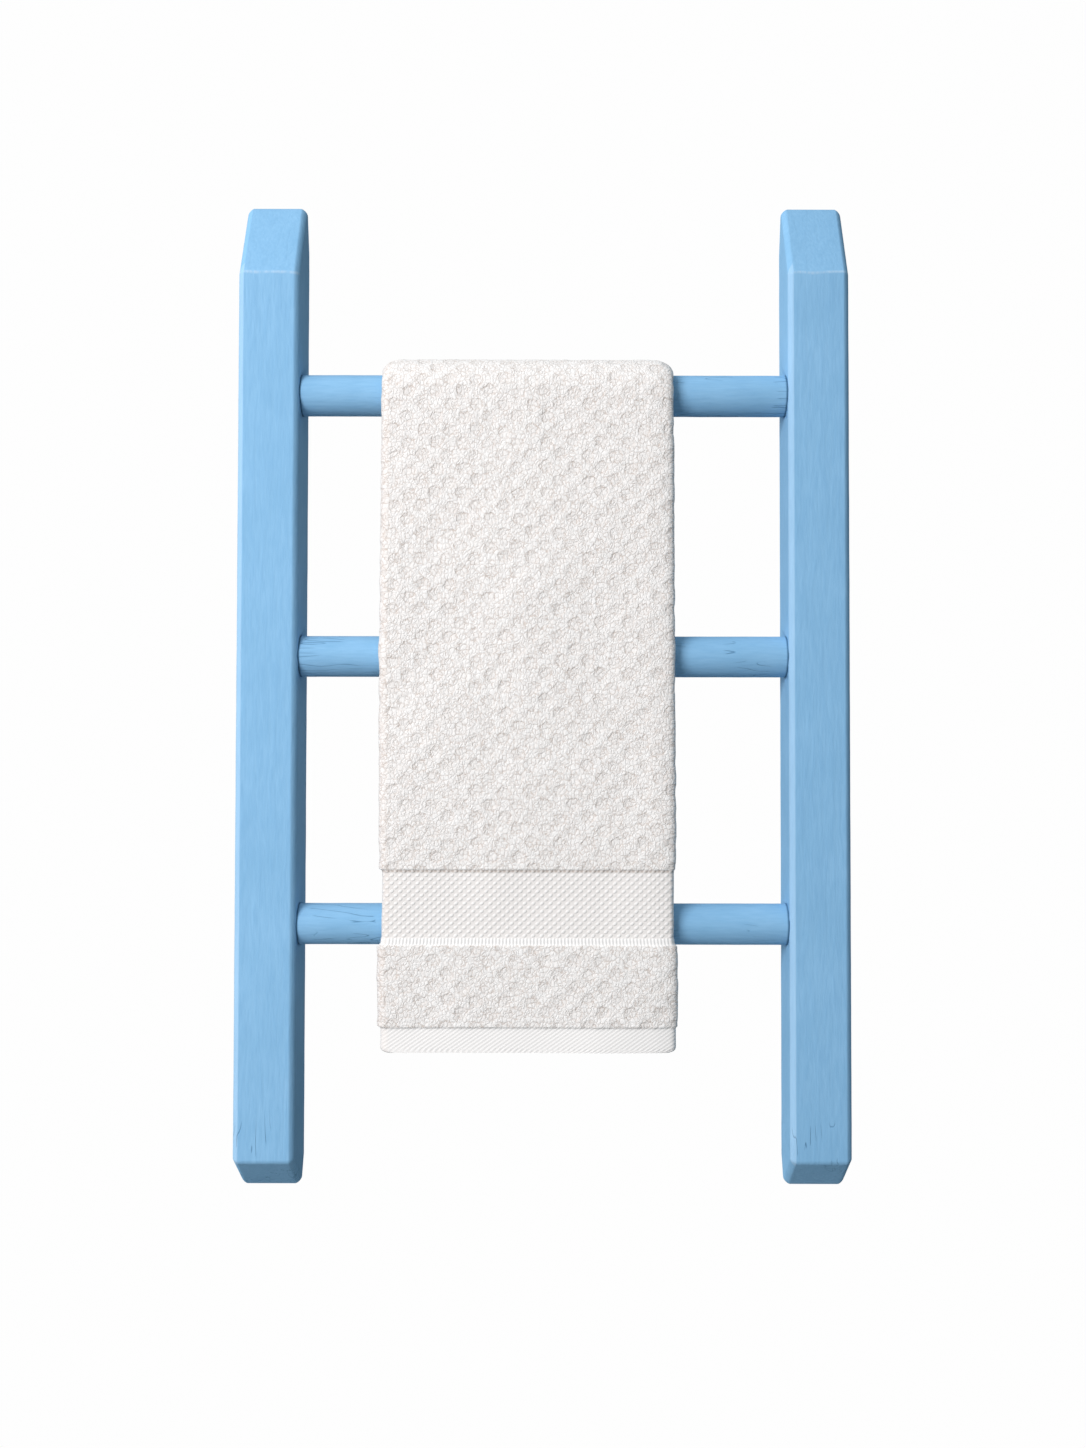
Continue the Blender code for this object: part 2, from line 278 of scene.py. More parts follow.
def painted_wood(name, grain_axis, side=None):
    """Light-blue chalk paint, brushed along this axis. Given a side, it is split near the upright's foot and has
    painted highlights on two edges; without one, a painted shade where a rung enters its upright.
    """
    material, tree, shader, node = new_material(name)
    place = node("TexCoord").outputs["Object"]
    squeeze = {"X": (ALONG_GRAIN, 1.0, 1.0), "Z": (1.0, 1.0, ALONG_GRAIN)}[grain_axis]
    stretched = node("Mapping", {"Vector": place, "Scale": squeeze})
    streak = node("TexNoise", {"Vector": stretched, "Scale": STREAKS, "Detail": 3.0, "Distortion": 0.3})
    grain = node("TexNoise", {"Vector": stretched, "Scale": GRAIN_LINES, "Detail": 2.0, "Distortion": 0.8})
    cloud = node("TexNoise", {"Vector": place, "Scale": CLOUDS, "Detail": 3.0})
    grit = node("TexNoise", {"Vector": place, "Scale": GRIT, "Detail": 1.0})
    parts = node("SeparateXYZ", place).outputs

    # Short dark splits along the grain, where a noise crosses its middle value, in some patches only
    crossing = node("TexNoise", {"Vector": stretched, "Scale": SPLITS, "Detail": 0.0})
    patch = node("TexNoise", {"Vector": place, "Scale": SPLIT_PATCHES, "Detail": 0.0})
    thin = node("Math ABSOLUTE", node("Math SUBTRACT", crossing, 0.5))
    in_patch = node("MapRange", patch, SPLITS_FROM[grain_axis], SPLITS_FROM[grain_axis] + 0.05)
    split = node("Math MULTIPLY", node("MapRange", thin, 0.0, SPLIT_WIDTH, 1.0, 0.0), in_patch)
    if side is not None:
        near_foot = node("MapRange", parts["Z"], SPLITS_BELOW, SPLITS_BELOW - 15 * MM, 0.0, 1.0)
        split = node("Math MULTIPLY", split, near_foot)

    paint = node("Mix", node("MapRange", cloud, 0.3, 0.7), PAINT["thin coat"], PAINT["thick coat"], **COLOURS)
    brushed = node("MapRange", streak, 0.35, 0.75, 0.0, 0.7)
    paint = node("Mix", brushed, paint, PAINT["bristle streak"], **COLOURS)
    paint = node("Mix", node("MapRange", grain, 0.5, 0.75, 0.0, 0.22), paint, PAINT["grain"], **COLOURS)
    paint = node("Mix", node("Math MULTIPLY", split, 0.8), paint, PAINT["split"], **COLOURS)
    if side is not None:
        # Painted highlights: along the top slope's lower edge, and down the front edge on the left
        near_front = node("MapRange", parts["Y"], FRONT + EDGE_DEPTH + 0.4 * MM, FRONT + EDGE_DEPTH - 0.4 * MM)
        uneven = node("Math MULTIPLY", node("Math SUBTRACT", cloud, 0.5), 5.0 * MM)
        off = node("Math ABSOLUTE", node("Math ADD", node("Math SUBTRACT", parts["Z"], SLOPE_EDGE), uneven))
        slope_edge = node("Math MULTIPLY", node("MapRange", off, 0.2 * MM, 1.1 * MM, 1.0, 0.0), near_front)
        slope_edge = node("Math MULTIPLY", slope_edge, node("MapRange", streak, 0.35, 0.6, 0.2, 1.0))
        left_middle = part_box(f"{side}_upright")[0].x + LEFT_EDGE_WIDTH / 2
        across = node("Math ABSOLUTE", node("Math SUBTRACT", parts["X"], left_middle))
        rim = LEFT_EDGE_WIDTH / 2
        left_edge = node("MapRange", across, rim - 0.2 * MM, rim + 0.2 * MM, 1.0, 0.0)
        left_edge = node("Math MULTIPLY", left_edge, near_front)
        slope_highlight = node("Math MULTIPLY", slope_edge, SLOPE_EDGE_HIGHLIGHT)
        painted_edge_highlight = node("Math MAXIMUM", slope_highlight, node("Math MULTIPLY", left_edge, LEFT_EDGE_HIGHLIGHT))
        paint = node("Mix", painted_edge_highlight, paint, PAINT["painted highlight"], **COLOURS)
    else:
        # Painted shade: a dark line in the corner where a rung enters its upright
        inner_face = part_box("right_upright")[0].x
        from_middle = node("Math ABSOLUTE", parts["X"])
        corner = node("MapRange", from_middle, inner_face - 0.9 * MM, inner_face - 0.3 * MM)
        paint = node("Mix", node("Math MULTIPLY", corner, 0.8), paint, PAINT["corner"], **COLOURS)

    height = node("Math MULTIPLY_ADD", streak, 0.1, node("Math MULTIPLY", grit, 0.05))
    height = node("Math MULTIPLY_ADD", grain, 0.22, height)
    height = node("Math MULTIPLY_ADD", split, -0.25, height)
    bump = node("Bump", {"Height": height, "Distance": 1.0 * MM, "Strength": 0.8})
    feed(tree, shader, {"Base Color": paint, "Roughness": 0.72, "Specular IOR Level": 0.06, "Normal": bump})
    return material


upright_paint = {side: painted_wood(f"chalk_paint_on_{side}_upright", "Z", side) for side in SIDES}
rung_paint = painted_wood("chalk_paint_on_rungs", "X")
print("paint:", ", ".join(paint.name for paint in (*upright_paint.values(), rung_paint)))

# %% [markdown]
# An upright is a plain length of planed wood with its ends sawn to slopes and its edges rubbed round with
# sandpaper. It is made here in the same order: a box is cut a little over size, bisect saws the faces and
# slopes of its side view, each corner between them is rounded with a bevel of its own, and then the edges along
# both sides with another. It is cut across into short lengths so that a faint waviness can be put into its
# edges, since nothing sanded by hand is straight. Last come the three blind sockets for the rungs and, at the
# back, the seat of the hanger plate with a pocket for the wall screw's head and two pilot holes. Each is a
# closed cutter that a Boolean takes away.

# %% Tools for a wooden piece
# An edge is picked if it is this near to the place that is asked for
HIT = 0.1 * MM
EDGE_RADIUS = 3.1 * MM
EDGE_SEGMENTS = 5
EDGE_PROFILE = 0.38
EDGE_WAVE = 0.18 * MM
EDGE_WAVELENGTH = 14 * MM


def saw_off(point, normal):
    """Cut the piece that is being edited with a plane, and throw away what lies beyond the plane."""
    bpy.ops.mesh.select_all(action="SELECT")
    bpy.ops.mesh.bisect(plane_co=point, plane_no=normal, use_fill=True, clear_outer=True)


def select_edges(piece, wanted):
    """In edit mode, select the edges for which wanted(middle, direction) is true."""
    bpy.ops.mesh.select_mode(type="EDGE")
    bpy.ops.mesh.select_all(action="DESELECT")
    cage = bmesh.from_edit_mesh(piece.data)
    for edge in cage.edges:
        a, b = edge.verts
        edge.select_set(wanted((a.co + b.co) / 2, (b.co - a.co).normalized()))
    bmesh.update_edit_mesh(piece.data)


def wave(piece, seed, height, wavelength):
    """Push the piece's points out and in along their normals by a smooth noise."""
    texture = bpy.data.textures.new(f"{piece.name}_wave", "CLOUDS")
    texture.noise_scale = wavelength
    guide = bpy.data.objects.new(f"{piece.name}_wave_place", None)
    guide.location = (seed * 0.37, seed * 0.11, 0.0)
    bpy.context.scene.collection.objects.link(guide)
    displace = piece.modifiers.new("wave", "DISPLACE")
    displace.texture = texture
    displace.texture_coords = "OBJECT"
    displace.texture_coords_object = guide
    displace.mid_level = 0.5
    displace.strength = height
    select_only(piece)
    bpy.context.view_layer.update()
    bpy.ops.object.modifier_apply(modifier="wave")
    bpy.data.objects.remove(guide)


def combine(piece, other, operation="DIFFERENCE"):
    """Take the other piece's shape out of this one for good, or join it on, and throw the other away."""
    boolean = piece.modifiers.new(operation.lower(), "BOOLEAN")
    boolean.operation = operation
    boolean.solver = "EXACT"
    boolean.object = other
    select_only(piece)
    bpy.ops.object.modifier_apply(modifier=boolean.name)
    bpy.data.objects.remove(other)


def settle(piece):
    """Put the piece's place and turn into its mesh, so that its object sits at the origin."""
    select_only(piece)
    bpy.ops.object.transform_apply(location=True, rotation=True, scale=True)


def rod(radius, start, end, axis, sides=64):
    """A closed cylinder between two places along the X or Y axis."""
    bpy.ops.object.select_all(action="DESELECT")
    turn = {"X": (0, math.pi / 2, 0), "Y": (math.pi / 2, 0, 0)}[axis]
    bpy.ops.mesh.primitive_cylinder_add(
        vertices=sides, radius=radius, depth=(end - start).length, location=(start + end) / 2, rotation=turn
    )
    made = bpy.context.object
    settle(made)
    return made


# %% The side view of an upright
# Its round corners, from the front foot round to the front of the crown: each one's centre, and its radius
PROFILE = [
    (FRONT + 3 * MM, FOOT + 18 * MM, 3 * MM),
    (WALL - 9 * MM, FOOT + 4 * MM, 4 * MM),
    (WALL - 3 * MM, FOOT + 14 * MM, 3 * MM),
    (WALL - 3 * MM, TOP - 21.5 * MM, 3 * MM),
    (WALL - 9.5 * MM, TOP - 3.4 * MM, 4 * MM),
    (FRONT + 3 * MM, TOP - 40.5 * MM, 3 * MM),
]
ROUND_STEP = math.radians(12)


def outward(start, end):
    """The outward direction of the line that touches two round corners, going round anticlockwise."""
    along = math.atan2(end[1] - start[1], end[0] - start[0])
    lean = math.acos((start[2] - end[2]) / math.dist(start[:2], end[:2]))
    return Vector((0, math.cos(along - lean), math.sin(along - lean)))


SAWN = [outward(a, b) for a, b in zip(PROFILE, PROFILE[1:] + PROFILE[:1])]
print("sawn faces lean", [round(math.degrees(math.atan2(face.z, face.y))) for face in SAWN], "degrees")

# %% The cuts in its back
# Cutters start behind the wall face. The pocket's lengths are below and above the middle of the plate
CUTTER_PROUD = 3 * MM
SEAT_ROOM = 0.4 * MM
POCKET_RADIUS = 6.05 * MM
POCKET_DEPTH = 9.4 * MM
POCKET_BELOW, POCKET_ABOVE = 3.5 * MM, 6 * MM
PILOT_RADIUS = 2.15 * MM
PILOT_SPARE = 0.5 * MM


def slot_cutter(low, high, radius, depth):
    """A cutter with two round ends, one above the other, from behind the wall face down to this depth."""
    x, back = (low.x + high.x) / 2, WALL + CUTTER_PROUD
    ends = [rod(radius, Vector((x, depth, z)), Vector((x, back, z)), "Y") for z in (low.z, high.z)]
    if high.z - low.z < MM:
        bpy.data.objects.remove(ends.pop())
        return ends[0]
    bpy.ops.object.select_all(action="DESELECT")
    straight = Vector((2 * radius, back - depth, high.z - low.z))
    place = Vector((x, (back + depth) / 2, (low.z + high.z) / 2))
    bpy.ops.mesh.primitive_cube_add(size=1, location=place, scale=straight)
    cutter = bpy.context.object
    settle(cutter)
    for end in ends:
        combine(cutter, end, "UNION")
    return cutter


def carve_hanger(upright, side):
    """The shallow seat of the hanger plate, the pocket for the wall screw's head, and two pilot holes."""
    low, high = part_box(f"{side}_hanger_plate")
    half = (high.x - low.x) / 2
    x = (low.x + high.x) / 2
    ends = Vector((x, 0, low.z + half)), Vector((x, 0, high.z - half))
    combine(upright, slot_cutter(*ends, half + SEAT_ROOM, low.y - SEAT_ROOM))
    centre = (low.z + high.z) / 2
    pocket = Vector((x, 0, centre - POCKET_BELOW)), Vector((x, 0, centre + POCKET_ABOVE))
    combine(upright, slot_cutter(*pocket, POCKET_RADIUS, low.y - POCKET_DEPTH))
    for part in ("upper", "lower"):
        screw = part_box(f"{side}_hanger_screw_{part}")
        at = (screw[0] + screw[1]) / 2
        combine(upright, slot_cutter(at, at, PILOT_RADIUS, screw[0].y - PILOT_SPARE))


# %% Making an upright
CROSS_CUTS = 150
CUTS_FROM, CUTS_TO = FOOT + 30 * MM, TOP - 48 * MM
BLANK_SPARE = 10 * MM
SOCKET_MOUTH = 25 * MM
GLUE_LINE = 0.5 * MM


def round_corner(piece, corner, before, after):
    """Round the edge between two sawn faces, which face these ways, to a true arc of the corner's radius."""
    y, z, radius = corner
    turn = before.angle(after)
    peak = Vector((0, y, z)) + radius / math.cos(turn / 2) * (before + after).normalized()
    select_edges(piece, lambda at, way: abs(way.x) > 0.9 and math.dist(at.yz, peak.yz) < HIT)
    # A profile of 0.5 is a circle only on a square edge, so the one that gives a circle here is worked out
    roundness = (1 - 0.5 / (1 + math.cos(turn / 2))) ** 2
    reach = radius * math.tan(turn / 2)
    segments = max(2, round(turn / ROUND_STEP))
    bpy.ops.mesh.bevel(offset=reach, offset_type="OFFSET", segments=segments, profile=roundness, affect="EDGES")


def shape_upright(upright, low, high):
    """Saw the blank's ends, round its corners and long edges, and cut it across into short lengths."""
    bpy.ops.object.mode_set(mode="EDIT")
    for (y, z, radius), face in zip(PROFILE, SAWN):
        saw_off(Vector((0, y, z)) + radius * face, face)
    bpy.ops.mesh.select_all(action="SELECT")
    bpy.ops.mesh.remove_doubles(threshold=0.01 * MM)
    for corner, before, after in zip(PROFILE, SAWN[-1:] + SAWN[:-1], SAWN):
        round_corner(upright, corner, before, after)
    select_edges(upright, lambda at, way: abs(way.x) < 0.1 and min(at.x - low.x, high.x - at.x) < HIT)
    bpy.ops.mesh.bevel(
        offset=EDGE_RADIUS, offset_type="OFFSET", segments=EDGE_SEGMENTS, profile=EDGE_PROFILE, affect="EDGES"
    )
    select_edges(upright, lambda at, way: abs(way.z) > 0.999 and CUTS_FROM < at.z < CUTS_TO)
    bpy.ops.mesh.subdivide(number_cuts=CROSS_CUTS)
    bpy.ops.object.mode_set(mode="OBJECT")


def make_upright(side):
    """One upright: sawn, sanded, waved, and bored for its rungs and its hanger."""
    low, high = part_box(f"{side}_upright")
    bpy.ops.object.select_all(action="DESELECT")
    blank = high - low + 2 * Vector((0, BLANK_SPARE, BLANK_SPARE))
    bpy.ops.mesh.primitive_cube_add(size=1, location=(low + high) / 2, scale=blank)
    upright = bpy.context.object
    upright.name = f"{side}_painted_upright"
    settle(upright)
    shape_upright(upright, low, high)
    wave(upright, 1 if side == "left" else 2, EDGE_WAVE, EDGE_WAVELENGTH)
    inward = 1 if side == "left" else -1
    for rung in RUNGS:
        at = middle(rung)
        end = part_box(rung)[0 if side == "left" else 1].x
        deep = Vector((end - inward * GLUE_LINE, at.y, at.z))
        mouth = Vector((end + inward * SOCKET_MOUTH, at.y, at.z))
        combine(upright, rod(RUNG_RADIUS + GLUE_LINE, deep, mouth, "X"))
    carve_hanger(upright, side)
    return upright


# %% Both uprights, painted
for side in SIDES:
    upright = make_upright(side)
    give(upright, upright_paint[side])
    select_only(upright)
    bpy.ops.object.shade_smooth_by_angle(angle=math.radians(50))
    bpy.ops.object.modifier_add(type="WEIGHTED_NORMAL")
    bpy.ops.object.modifier_apply(modifier=upright.modifiers[-1].name)
    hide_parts(f"{side}_upright")
    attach(upright, "rack")
    print(upright.name, len(upright.data.polygons), "faces")

# %% [markdown]
# The rungs are dowels of the same softwood. A dowel that has been painted and rubbed down is never a perfect
# cylinder, so each one is cut into many short lengths and waved a little too. Its ends stay hidden in the
# sockets.

# %% Rungs
RUNG_SIDES = 72
RUNG_CUTS = 180
RUNG_WAVE = 0.16 * MM
RUNG_WAVELENGTH = 9 * MM


def make_rung(node, seed):
    """One painted dowel, the length of its node."""
    low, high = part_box(node)
    at = (low + high) / 2
    ends = Vector((low.x, at.y, at.z)), Vector((high.x, at.y, at.z))
    rung = rod(RUNG_RADIUS, *ends, "X", sides=RUNG_SIDES)
    rung.name = f"painted_{node}"
    bpy.ops.object.mode_set(mode="EDIT")
    select_edges(rung, lambda at, way: abs(way.x) > 0.999)
    bpy.ops.mesh.subdivide(number_cuts=RUNG_CUTS)
    bpy.ops.object.mode_set(mode="OBJECT")
    wave(rung, seed, RUNG_WAVE, RUNG_WAVELENGTH)
    return rung


for seed, node in enumerate(RUNGS, start=3):
    rung = make_rung(node, seed)
    give(rung, rung_paint)
    select_only(rung)
    bpy.ops.object.shade_smooth_by_angle(angle=math.radians(35))
    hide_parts(node)
    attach(rung, "rack")
    print(rung.name, len(rung.data.polygons), "faces")

# %% [markdown]
# Each upright hangs on a steel keyhole plate that is let into its back. Bright zinc plating has a cool grey
# colour, fine rolling lines and cloudy patches where it has dulled. The plates and screws of the working model
# are already accurate, so they are kept, and the steel goes into the slots that they have.

# %% Hanger plates and screws
HANGER_PARTS = ("hanger_plate", "hanger_screw_upper", "hanger_screw_lower")
HARDWARE = [f"{side}_{part}" for side in SIDES for part in HANGER_PARTS]
# Lines a metre, before they are drawn out along the rolling, and cloudy patches a metre
ROLLING_LINES, DULL_CLOUDS = 2500.0, 160.0
ALONG_ROLLING = 0.03


def zinc_plated_steel():
    """Bright zinc plating on rolled steel."""
    material, tree, shader, node = new_material("zinc_plated_steel")
    place = node("TexCoord").outputs["Object"]
    rolled = node("Mapping", {"Vector": place, "Scale": (1.0, 1.0, ALONG_ROLLING)})
    lines = node("TexNoise", {"Vector": rolled, "Scale": ROLLING_LINES, "Detail": 2.0})
    cloud = node("TexNoise", {"Vector": place, "Scale": DULL_CLOUDS, "Detail": 3.0})
    plated = node("Mix", cloud, colour("#B9BCBD"), colour("#D2D3D0"), **COLOURS)
    dull = node("MapRange", cloud, 0.0, 1.0, 0.22, 0.46)
    bump = node("Bump", {"Height": lines, "Distance": 0.01 * MM, "Strength": 0.6})
    feed(tree, shader, {"Base Color": plated, "Roughness": dull, "Metallic": 1.0, "Normal": bump})
    return material


zinc = zinc_plated_steel()
for name in HARDWARE:
    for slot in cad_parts[name].material_slots:
        slot.material = zinc
print(len(HARDWARE), "hanger pieces in", zinc.name)

# %% [markdown]
# The towel is one sheet of cloth, 45 by 70 cm, and it is folded here as a person folds it. The right third goes
# behind the middle first, then the left third goes behind both, and the middle third is what the room sees,
# with a fold down each side. A cross-section through the folded towel is therefore one line: it runs along the
# left third, turns the left fold, runs along the middle third, turns the right fold, and runs back along the
# right third. Depth is measured from the room's side of the stack, so the same numbers work on both sides of
# the rung.

# %% The folded cross-section
AXIS = middle("top_rung")
TOWEL_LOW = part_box("towel")[0]
OUTER = AXIS.y - TOWEL_LOW.y
INNER = RUNG_RADIUS + 0.3 * MM
STACK = OUTER - INNER
CLOTH = 2.6 * MM
GAP = 0.3 * MM
LAYERS = [CLOTH / 2 + layer * (CLOTH + GAP) for layer in range(3)]
LEFT_TURN = (LAYERS[2] - LAYERS[0]) / 2
RIGHT_TURN = (LAYERS[1] - LAYERS[0]) / 2
# Columns are this far apart on the third that is seen, and this share of a third on the two behind it
PITCH = 1.146 * MM
HIDDEN_PITCH = 0.08
THIRD = 139.35 * MM


def steps(start, end, step):
    """Evenly spaced numbers from start to just before end, about this far apart."""
    count = max(1, round(abs(end - start) / step))
    return [start + (end - start) * i / count for i in range(count)]


def cross_section():
    """Columns across the cloth: which edge each one is tied to, its offset from it, its depth and its normal."""
    columns = []

    def put(share, offset, depth, nx, nd, cloth_x):
        """share is 0 at the left fold's centre and 1 at the right fold's; offset is added to that."""
        columns.append((share, offset, depth, nx, nd, cloth_x))

    for share in steps(0.985, 0.0, HIDDEN_PITCH):
        put(share, 0.0, LAYERS[2], 0.0, 1.0, -THIRD / 2 - math.pi * LEFT_TURN - THIRD * share)
    for angle in steps(math.pi / 2, 3 * math.pi / 2, math.pi / 9):
        nx, nd = math.cos(angle), math.sin(angle)
        x = -THIRD / 2 - LEFT_TURN * (3 * math.pi / 2 - angle)
        put(0.0, LEFT_TURN * nx, LAYERS[0] + LEFT_TURN + LEFT_TURN * nd, nx, nd, x)
    for share in steps(0.0, 1.0, PITCH / THIRD):
        put(share, 0.0, LAYERS[0], 0.0, -1.0, THIRD * (share - 0.5))
    for angle in steps(-math.pi / 2, math.pi / 2, math.pi / 7):
        nx, nd = math.cos(angle), math.sin(angle)
        x = THIRD / 2 + RIGHT_TURN * (angle + math.pi / 2)
        put(1.0, RIGHT_TURN * nx, LAYERS[0] + RIGHT_TURN + RIGHT_TURN * nd, nx, nd, x)
    for share in steps(1.0, 0.02, HIDDEN_PITCH) + [0.02]:
        put(share, 0.0, LAYERS[1], 0.0, 1.0, THIRD / 2 + math.pi * RIGHT_TURN + THIRD * (1 - share))
    return np.array(columns).T


SHARE, OFFSET, DEPTH, NORMAL_X, NORMAL_D, CLOTH_X = cross_section()
print(len(SHARE), "columns, stack", round(STACK / MM, 2), "mm")
print("fold radii", round(LEFT_TURN / MM, 2), "mm left and", round(RIGHT_TURN / MM, 2), "mm right")

# %% [markdown]
# Along its length the cloth changes. From the hem up it is flat twill, pile, two ribs, the flat dobby band, and
# then pile again to the same set at the other end. Heights are measured up from the front hem, on the outside.
# Pile loops stand about a millimetre prouder than the flat weave, and the flat parts pull in a little sideways.

# %% Along the cloth
HEM_TOP = 12.2 * MM
LOW_PILE_TOP = 52.6 * MM
RIBS_TOP = 56.0 * MM
BAND_TOP = 89.5 * MM
FRONT_HANG = AXIS.z - TOWEL_LOW.z + 0.6 * MM
BEND = math.pi * OUTER
BACK_HANG = AXIS.z - TOWEL_LOW.z - 2.5 * MM
WHOLE = FRONT_HANG + BEND + BACK_HANG


def rows_along():
    """Heights of the rows of points, closest where the weave changes and on the side that faces the room."""
    # From, to and step, in millimetres above the front hem
    zones = [
        (0.0, 3.0, 0.5),
        (3.0, 11.4, 1.2),
        (11.4, 13.4, 0.5),
        (13.4, 51.8, 1.28),
        (51.8, 56.8, 0.5),
        (56.8, 88.9, 1.6),
        (88.9, 90.6, 0.42),
    ]
    rows = [v * MM for low, high, step in zones for v in steps(low, high, step)]
    rows += steps(90.6 * MM, FRONT_HANG, 1.28 * MM)
    rows += steps(FRONT_HANG, FRONT_HANG + BEND, 1.28 * MM)
    rows += steps(FRONT_HANG + BEND, WHOLE, 2.6 * MM)
    return np.array(rows + [WHOLE])


ROWS = rows_along()
FROM_END = np.minimum(ROWS, WHOLE - ROWS)
print(len(ROWS), "rows, cloth length", round(WHOLE / MM), "mm")


def ease(x, low, high):
    """0 below low, 1 above high, and a smooth rise between."""
    t = np.clip((x - low) / (high - low), 0.0, 1.0)
    return t * t * (3 - 2 * t)


def between(x, low, high, soft=0.5 * MM):
    """1 between two heights and 0 outside them, with soft ends."""
    return ease(x, low - soft, low + soft) * (1 - ease(x, high - soft, high + soft))


def smooth_noise(x, y, seed):
    """Smooth random numbers from -1 to 1 that change over about one unit of x or y."""
    grid = np.random.default_rng(seed).uniform(-1, 1, (64, 64))
    x, y = np.broadcast_arrays(x, y)
    i, j = np.floor(x).astype(int), np.floor(y).astype(int)
    fx, fy = ease(x - i, 0, 1), ease(y - j, 0, 1)
    corner = lambda a, b: grid[(i + a) % 64, (j + b) % 64]
    low = corner(0, 0) * (1 - fx) + corner(1, 0) * fx
    high = corner(0, 1) * (1 - fx) + corner(1, 1) * fx
    return low * (1 - fy) + high * fy


# %% [markdown]
# The pile is a waffle of sunk dimples. Their centres make a diamond lattice, 13.75 mm from one to the next
# across and 12.8 mm up, with one more in the middle of each four. Every dimple gets a depth of its own. The
# flat band and the hem sit lower, and all heights here are added to half the cloth's thickness, on its face
# side only.

# %% Relief
DIMPLE_ACROSS = 13.75 * MM
DIMPLE_UP = 12.8 * MM
DIMPLE_JITTER = 0.22
DIMPLE_DEPTHS = np.random.default_rng(7).uniform(0.2, 1.2, (97, 97))
PILE_HEIGHT = 0.25 * MM
DIMPLE_DEPTH = 0.26 * MM
BAND_SINKS, HEM_SINKS, RIBS_SINK = 0.75 * MM, 0.6 * MM, 0.35 * MM
HEM_CORNER = 2.7 * MM
RIPPLE = 0.35 * MM


def dimple(x, v):
    """How deep the dimple is at this place on the cloth: 0 beside it, and up to 1.2 at its middle."""
    a = x / DIMPLE_ACROSS + v / DIMPLE_UP - DIMPLE_JITTER / 2
    b = x / DIMPLE_ACROSS - v / DIMPLE_UP - DIMPLE_JITTER / 2
    reach = np.hypot(a - np.round(a), b - np.round(b))
    own = DIMPLE_DEPTHS[np.round(a).astype(int) % 97, np.round(b).astype(int) % 97]
    return (1 - ease(reach, 0.2, 0.42)) * own


def relief(x, v, end):
    """Height of the face side above a plain cloth, for columns x and rows v."""
    frayed = end + 0.35 * MM * smooth_noise(x / (2.4 * MM), 0.5 + 0 * v, 8)
    pile = np.clip(1 - between(frayed, -1.0, HEM_TOP) - between(frayed, LOW_PILE_TOP, BAND_TOP), 0, 1)
    lumps = 0.1 * smooth_noise(x / (4.5 * MM), v / (4.0 * MM), 1)
    lumps = lumps + 0.12 * smooth_noise(x / (1.9 * MM), v / (2.0 * MM), 2)
    tufts = pile * (PILE_HEIGHT + lumps * MM - DIMPLE_DEPTH * dimple(x, v))
    flat = -BAND_SINKS * between(end, RIBS_TOP, BAND_TOP) - HEM_SINKS * between(end, -1.0, HEM_TOP)
    return tufts + flat - RIBS_SINK * between(end, LOW_PILE_TOP, RIBS_TOP)


def edges_at(end, v):
    """Where the left and right edges of the folded towel lie, for each row."""
    # Heights above the hem, and how far each edge lies from the towel's middle there, in millimetres
    heights = np.array([0, 12.0, 12.9, 32, 51.8, 53.2, 56, 88.6, 90.4, 110, 200, 330, 800]) * MM
    lefts = [-72.9, -73.0, -73.9, -74.1, -73.9, -72.9, -72.6, -72.6, -73.4, -73.6, -73.9, -73.2, -73.2]
    rights = [73.4, 73.5, 74.0, 74.0, 73.8, 73.0, 72.6, 72.7, 73.0, 73.0, 72.7, 72.0, 72.0]
    left = np.interp(end, heights, np.array(lefts) * MM)
    right = np.interp(end, heights, np.array(rights) * MM)
    corner = HEM_CORNER
    inset = corner - np.sqrt(np.maximum(corner**2 - np.maximum(corner - end, 0) ** 2, 0))
    ripples = [RIPPLE * smooth_noise(v / (9 * MM), 0.5, seed) for seed in (3, 4)]
    return left + inset + ripples[0], right - inset + ripples[1]


# %% [markdown]
# Now each point of the cross-section is hung. On the two flaps, depth is simply distance from the front, and over
# the rung it shortens the radius of the bend. Near both folds the stack droops a little as it goes over the
# rung, which rounds the towel's top corners, and the whole front billows by less than a millimetre. All of this
# fades to nothing at the rung's side of the stack, so that the cloth still rests on the wood.

# %% Hanging the cloth
# How far the stack droops over the rung, billows, settles on the rung and falls back along each fold
TOWEL_X = middle("towel").x
DROOP = 2.6 * MM
DROOP_WIDTH = 9 * MM
BILLOW = 0.7 * MM
OVER_SETTLE = 1.3 * MM
LEFT_ROUND = 0.2 * MM
RIGHT_ROUND = 1.3 * MM
EDGE_ROUND_WIDTH = 12 * MM


def hang(x, depth, v):
    """World places for points at these x, depths and heights along the cloth."""
    bend = np.clip((v - FRONT_HANG) / BEND, 0, 1) * math.pi
    radius = OUTER - depth
    y = AXIS.y - radius * np.cos(bend)
    rise = np.where(v < FRONT_HANG, v - FRONT_HANG, 0)
    rise = rise + np.where(v > WHOLE - BACK_HANG, WHOLE - BACK_HANG - v, 0)
    return np.stack([x, y, AXIS.z + rise + radius * np.sin(bend)], axis=-1)


